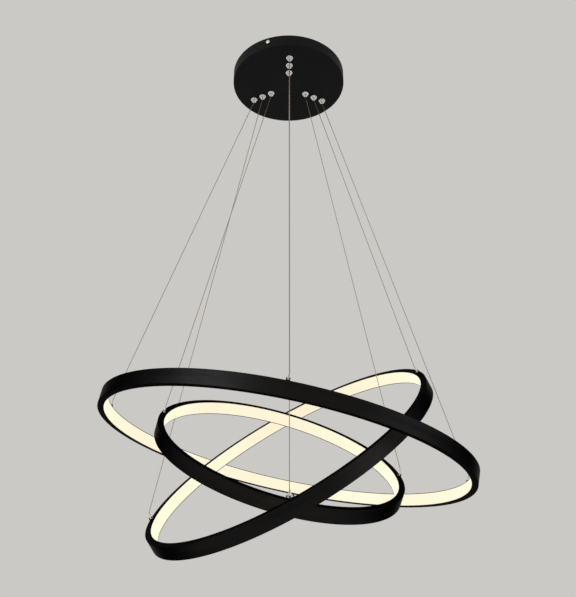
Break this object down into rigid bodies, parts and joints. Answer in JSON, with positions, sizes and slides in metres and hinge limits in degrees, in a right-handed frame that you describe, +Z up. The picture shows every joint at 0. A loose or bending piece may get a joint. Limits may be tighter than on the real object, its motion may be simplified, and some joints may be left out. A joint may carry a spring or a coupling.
{
  "type": "ring chandelier",
  "caption": "Pendant LED chandelier: a round ceiling canopy and nested, inward-lit black rings on thin wires, each ring with its own height and tilt.",
  "frame": {"origin": "on the ceiling plane at the canopy's axis, in the middle of the two ceiling slots", "axes": "+Z up, so the rings hang along -Z; -Y is the front, where the front wires hang; +X right"},
  "size_m": [0.5916, 0.6004, 0.9551],
  "materials": {
    "canopy_black": "matt black powder coat",
    "plate_steel": "zinc plated sheet",
    "screw_steel": "zinc plated",
    "bright_chrome": "polished nickel plate",
    "profile_black": "satin black lacquer",
    "diffuser_opal": "opal, lit from behind",
    "led_board": "white flexible board",
    "splice_aluminium": "mill finish",
    "driver_white": "moulded",
    "board_green": "solder mask",
    "terminal_white": "moulded",
    "terminal_brass": "plain",
    "suspension_wire": "stranded core in a clear sleeve"
  },
  "bodies": {
    "canopy": {"ceiling_plate": "plate_steel", "canopy_shell": "canopy_black", "canopy_side_screws": "bright_chrome", "driver_case": "driver_white", "driver_lid": "driver_white", "driver_board": "board_green", "driver_screws": "screw_steel", "terminal_block": "terminal_white", "terminal_screws": "terminal_brass", "terminal_block_screws": "screw_steel", "earth_screw": "terminal_brass", "gripper_bodies": "bright_chrome", "gripper_nuts": "bright_chrome", "grip_balls": "screw_steel", "gripper_springs": "screw_steel", "large_front_wire": "suspension_wire", "large_left_wire": "suspension_wire", "large_right_wire": "suspension_wire", "medium_front_wire": "suspension_wire", "medium_left_wire": "suspension_wire", "medium_right_wire": "suspension_wire", "small_front_wire": "suspension_wire", "small_left_wire": "suspension_wire", "small_right_wire": "suspension_wire"},
    "large_hanger": {"large_side_ferrules": "screw_steel"},
    "large_ring": {"large_profile": "profile_black", "large_diffuser": "diffuser_opal", "large_led_strip": "led_board", "large_splice_plate": "splice_aluminium", "large_splice_screws": "screw_steel", "large_anchor_sockets": "profile_black", "large_front_ferrule": "screw_steel"},
    "medium_hanger": {"medium_side_ferrules": "screw_steel"},
    "medium_ring": {"medium_profile": "profile_black", "medium_diffuser": "diffuser_opal", "medium_led_strip": "led_board", "medium_splice_plate": "splice_aluminium", "medium_splice_screws": "screw_steel", "medium_anchor_sockets": "profile_black", "medium_front_ferrule": "screw_steel"},
    "small_hanger": {"small_side_ferrules": "screw_steel"},
    "small_ring": {"small_profile": "profile_black", "small_diffuser": "diffuser_opal", "small_led_strip": "led_board", "small_splice_plate": "splice_aluminium", "small_splice_screws": "screw_steel", "small_anchor_sockets": "profile_black", "small_front_ferrule": "screw_steel"},
    "large_front_release": {"large_front_release": "bright_chrome"},
    "large_left_release": {"large_left_release": "bright_chrome"},
    "large_right_release": {"large_right_release": "bright_chrome"},
    "medium_front_release": {"medium_front_release": "bright_chrome"},
    "medium_left_release": {"medium_left_release": "bright_chrome"},
    "medium_right_release": {"medium_right_release": "bright_chrome"},
    "small_front_release": {"small_front_release": "bright_chrome"},
    "small_left_release": {"small_left_release": "bright_chrome"},
    "small_right_release": {"small_right_release": "bright_chrome"}
  },
  "joints": [
    {"name": "large_height", "type": "slide", "parent": "canopy", "child": "large_hanger", "axis": [0, 0, 1], "range_m": [0, 0.3], "deforming": ["large_front_wire", "large_left_wire", "large_right_wire"]},
    {"name": "large_tilt", "type": "hinge", "parent": "large_hanger", "child": "large_ring", "pos_m": [-0.0022, 0.019, -0.75474], "axis": [0.9789, 0.0086, -0.2043], "range_deg": [-20, 20]},
    {"name": "medium_height", "type": "slide", "parent": "canopy", "child": "medium_hanger", "axis": [0, 0, 1], "range_m": [-0.01, 0.03], "deforming": ["medium_front_wire", "medium_left_wire", "medium_right_wire"]},
    {"name": "medium_tilt", "type": "hinge", "parent": "medium_hanger", "child": "medium_ring", "pos_m": [-0.00781, 0.01436, -0.75993], "axis": [0.8678, -0.2597, 0.4237], "range_deg": [-35, 5]},
    {"name": "small_height", "type": "slide", "parent": "canopy", "child": "small_hanger", "axis": [0, 0, 1], "range_m": [-0.03, 0.01], "deforming": ["small_front_wire", "small_left_wire", "small_right_wire"]},
    {"name": "small_tilt", "type": "hinge", "parent": "small_hanger", "child": "small_ring", "pos_m": [-0.00941, 0.00233, -0.76133], "axis": [0.965, 0.153, -0.2129], "range_deg": [-10, 20]},
    {"name": "large_front_release_press", "type": "slide", "parent": "canopy", "child": "large_front_release", "axis": [0, 0, 1], "range_m": [0, 0.002], "stiffness_N_per_m": 800, "springref_m": -0.001},
    {"name": "large_left_release_press", "type": "slide", "parent": "canopy", "child": "large_left_release", "axis": [0, 0, 1], "range_m": [0, 0.002], "stiffness_N_per_m": 800, "springref_m": -0.001},
    {"name": "large_right_release_press", "type": "slide", "parent": "canopy", "child": "large_right_release", "axis": [0, 0, 1], "range_m": [0, 0.002], "stiffness_N_per_m": 800, "springref_m": -0.001},
    {"name": "medium_front_release_press", "type": "slide", "parent": "canopy", "child": "medium_front_release", "axis": [0, 0, 1], "range_m": [0, 0.002], "stiffness_N_per_m": 800, "springref_m": -0.001},
    {"name": "medium_left_release_press", "type": "slide", "parent": "canopy", "child": "medium_left_release", "axis": [0, 0, 1], "range_m": [0, 0.002], "stiffness_N_per_m": 800, "springref_m": -0.001},
    {"name": "medium_right_release_press", "type": "slide", "parent": "canopy", "child": "medium_right_release", "axis": [0, 0, 1], "range_m": [0, 0.002], "stiffness_N_per_m": 800, "springref_m": -0.001},
    {"name": "small_front_release_press", "type": "slide", "parent": "canopy", "child": "small_front_release", "axis": [0, 0, 1], "range_m": [0, 0.002], "stiffness_N_per_m": 800, "springref_m": -0.001},
    {"name": "small_left_release_press", "type": "slide", "parent": "canopy", "child": "small_left_release", "axis": [0, 0, 1], "range_m": [0, 0.002], "stiffness_N_per_m": 800, "springref_m": -0.001},
    {"name": "small_right_release_press", "type": "slide", "parent": "canopy", "child": "small_right_release", "axis": [0, 0, 1], "range_m": [0, 0.002], "stiffness_N_per_m": 800, "springref_m": -0.001}
  ]
}
